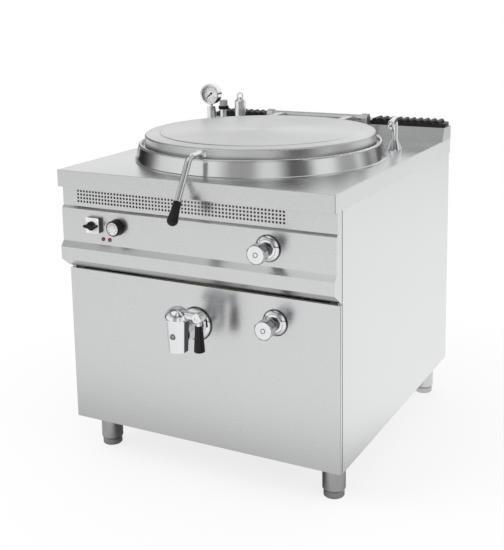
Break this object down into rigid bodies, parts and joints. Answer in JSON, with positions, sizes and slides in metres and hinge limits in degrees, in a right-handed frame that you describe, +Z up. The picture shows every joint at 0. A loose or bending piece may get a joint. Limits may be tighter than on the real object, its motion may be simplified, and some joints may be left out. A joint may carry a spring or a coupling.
{
  "type": "steam jacketed kettle",
  "caption": "Free-standing jacketed kettle for a large kitchen: round stew vessel in a square steel cabinet, with a hinged lid, front drain tap, water taps, swivel spout and levelling feet.",
  "frame": {"origin": "on the floor under the middle of the part's bounding box, which is on the vessel's vertical axis", "axes": "+Z up, +X to the user's right, -Y towards the user at the front"},
  "size_m": [0.8, 0.99, 0.965],
  "materials": {
    "stainless": "brushed",
    "chrome": "polished",
    "brass": "machined",
    "galvanised": "dull zinc",
    "copper_pipe": "drawn",
    "heater_sheath": "dull",
    "wool": "matt",
    "black_casting": "enamelled",
    "grey_casting": "satin",
    "black_bakelite": "gloss",
    "grey_plastic": "satin",
    "white_plastic": "gloss",
    "black_plastic": "satin",
    "lamp_lens": "gloss",
    "dial_white": "satin",
    "clear_glass": "clear",
    "needle_black": "satin"
  },
  "bodies": {
    "cabinet": {"worktop": "stainless", "upstand": "stainless", "flue_grille_ends": "black_casting", "flue_grille_centre": "grey_casting", "control_panel": "stainless", "vent_band": "stainless", "front_panel": "stainless", "side_panels": "stainless", "rear_panel": "stainless", "floor_pan": "stainless", "frame": "galvanised", "leg_tubes": "stainless", "inner_vessel": "stainless", "jacket_shell": "stainless", "insulation": "wool", "heating_elements": "heater_sheath", "collar": "stainless", "hinge_brackets": "stainless", "drain_pipe": "stainless", "drain_strainer": "stainless", "drain_rosette": "chrome", "drain_valve_body": "chrome", "tap_rosettes": "chrome", "fill_tap_valve": "chrome", "level_tap_valve": "chrome", "switch_plate": "white_plastic", "switch_block": "black_plastic", "thermostat_block": "black_plastic", "pilot_lamps": "lamp_lens", "gauge_stem": "chrome", "gauge_case": "chrome", "gauge_dial": "dial_white", "gauge_glass": "clear_glass", "vent_valve_body": "chrome", "safety_valve_body": "chrome", "spout_base": "chrome", "water_pipes": "copper_pipe", "cable_gland": "grey_plastic", "terminal_block": "white_plastic"},
    "lid": {"lid_shell": "stainless", "lid_liner": "stainless", "lid_hinge": "stainless", "lid_handle": "chrome", "lid_grip": "black_bakelite"},
    "drain_tap": {"drain_plug": "brass", "drain_lever": "chrome", "drain_grip": "black_bakelite"},
    "fill_tap": {"fill_tap_knob": "chrome"},
    "level_tap": {"level_tap_knob": "chrome"},
    "main_switch": {"switch_knob": "black_bakelite"},
    "thermostat": {"thermostat_knob": "black_bakelite"},
    "gauge_hand": {"gauge_needle": "needle_black"},
    "vent_valve": {"vent_wheel": "black_bakelite", "vent_cap": "grey_plastic"},
    "safety_bail": {"safety_lever": "chrome"},
    "filling_spout": {"spout": "chrome"},
    "front_left_foot": {"foot_front_left": "grey_plastic"},
    "front_right_foot": {"foot_front_right": "grey_plastic"},
    "rear_left_foot": {"foot_rear_left": "grey_plastic"},
    "rear_right_foot": {"foot_rear_right": "grey_plastic"}
  },
  "joints": [
    {"name": "lid_open", "type": "hinge", "parent": "cabinet", "child": "lid", "pos_m": [0, 0.39, 0.872], "axis": [-1, 0, 0], "range_deg": [0, 85]},
    {"name": "drain_turn", "type": "hinge", "parent": "cabinet", "child": "drain_tap", "pos_m": [0, -0.461, 0.474], "axis": [0, 0, 1], "range_deg": [-90, 0]},
    {"name": "fill_tap_turn", "type": "hinge", "parent": "cabinet", "child": "fill_tap", "pos_m": [0.2195, -0.393, 0.661], "axis": [0, -1, 0], "range_deg": [0, 360]},
    {"name": "level_tap_turn", "type": "hinge", "parent": "cabinet", "child": "level_tap", "pos_m": [0.225, -0.371, 0.468], "axis": [0, -1, 0], "range_deg": [0, 360]},
    {"name": "switch_turn", "type": "hinge", "parent": "cabinet", "child": "main_switch", "pos_m": [-0.2925, -0.405, 0.668], "axis": [0, 1, 0], "range_deg": [0, 90]},
    {"name": "thermostat_turn", "type": "hinge", "parent": "cabinet", "child": "thermostat", "pos_m": [-0.221, -0.393, 0.668], "axis": [0, 1, 0], "range_deg": [0, 300]},
    {"name": "needle_turn", "type": "hinge", "parent": "cabinet", "child": "gauge_hand", "pos_m": [-0.363, 0.35, 0.932], "axis": [0, 1, 0], "range_deg": [0, 270], "stiffness_Nm_per_rad": 0.002},
    {"name": "vent_turn", "type": "hinge", "parent": "cabinet", "child": "vent_valve", "pos_m": [-0.317, 0.35, 0.884], "axis": [0, 0, 1], "range_deg": [0, 270]},
    {"name": "safety_lift", "type": "hinge", "parent": "cabinet", "child": "safety_bail", "pos_m": [-0.255, 0.35, 0.922], "axis": [1, 0, 0], "range_deg": [0, 80], "stiffness_Nm_per_rad": 0.2},
    {"name": "spout_swing", "type": "hinge", "parent": "cabinet", "child": "filling_spout", "pos_m": [0.313, 0.232, 0.837], "axis": [0, 0, 1], "range_deg": [-110, 40]},
    {"name": "foot_front_left_screw", "type": "slide", "parent": "cabinet", "child": "front_left_foot", "axis": [0, 0, -1], "range_m": [0, 0.05]},
    {"name": "foot_rear_left_screw", "type": "slide", "parent": "cabinet", "child": "rear_left_foot", "axis": [0, 0, -1], "range_m": [0, 0.05]},
    {"name": "foot_front_right_screw", "type": "slide", "parent": "cabinet", "child": "front_right_foot", "axis": [0, 0, -1], "range_m": [0, 0.05]},
    {"name": "foot_rear_right_screw", "type": "slide", "parent": "cabinet", "child": "rear_right_foot", "axis": [0, 0, -1], "range_m": [0, 0.05]}
  ]
}
